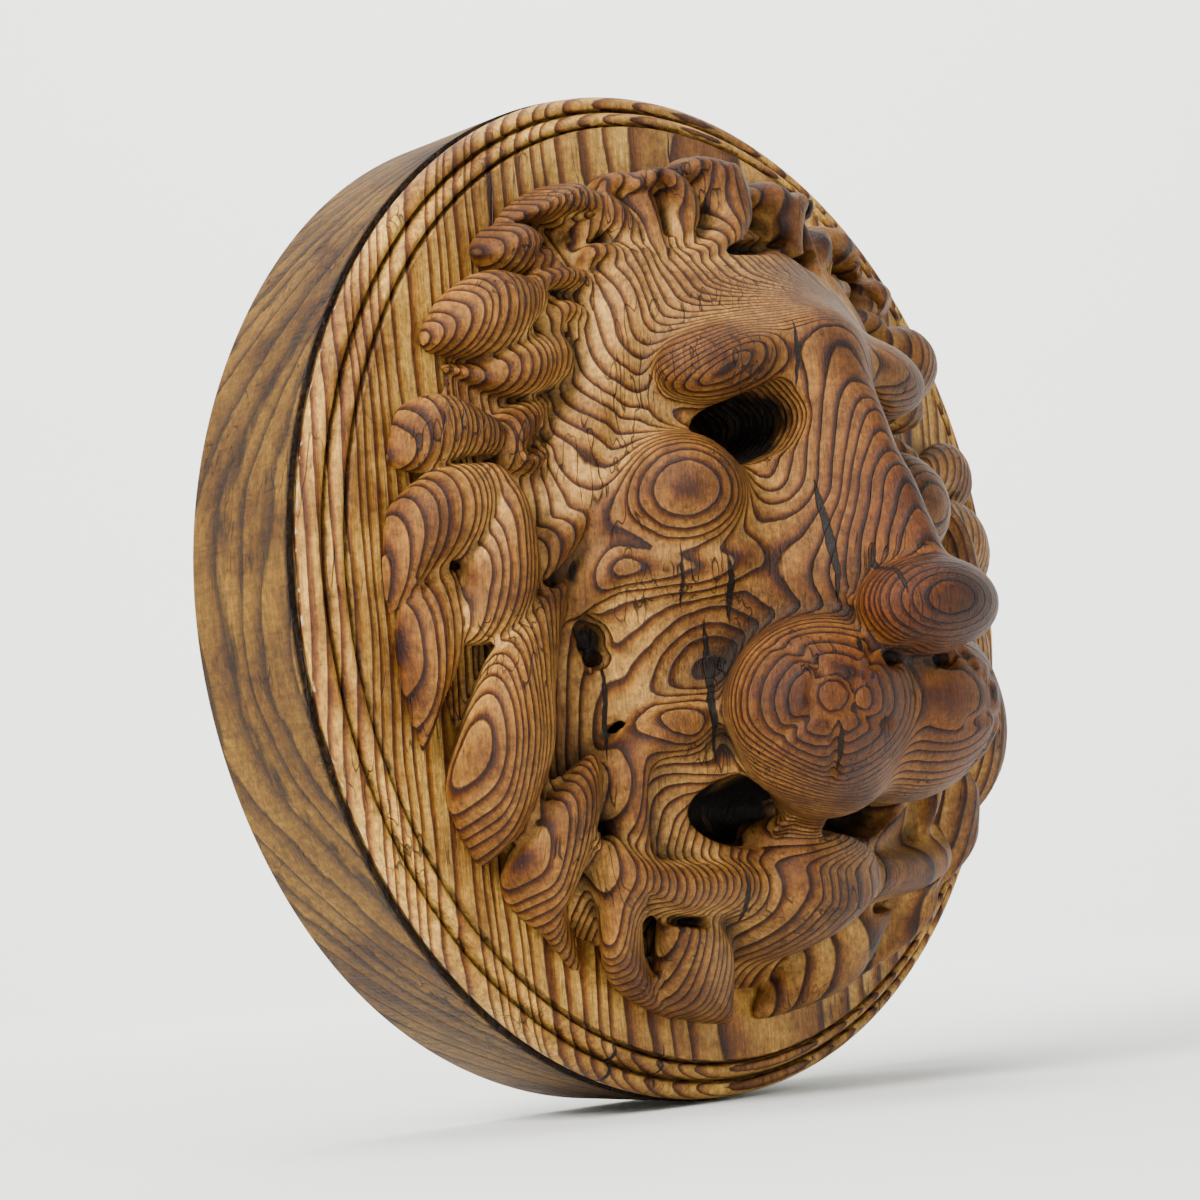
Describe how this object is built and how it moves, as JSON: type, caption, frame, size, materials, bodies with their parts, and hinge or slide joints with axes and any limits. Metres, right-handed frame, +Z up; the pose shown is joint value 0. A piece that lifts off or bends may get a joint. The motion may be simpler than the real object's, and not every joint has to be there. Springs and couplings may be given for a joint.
{
  "type": "carved lion mask",
  "caption": "Softwood lion mask in high relief, open-mouthed with a curling mane, fixed on a turned round board with a moulded rim and a plain thick sawn disc behind.",
  "frame": {"origin": "centre of the flat back of the backing disc", "axes": "+Z up, the mask faces -Y, +X to the right for someone looking at the mask"},
  "size_m": [0.26, 0.1316, 0.26],
  "materials": {
    "carved_pine": "old waxed softwood, carved",
    "turned_pine": "old waxed softwood, turned",
    "sawn_pine": "dull sawn softwood"
  },
  "bodies": {
    "root": {"lion_mask": "carved_pine", "moulded_ground": "turned_pine", "backing_disc": "sawn_pine"}
  },
  "joints": []
}
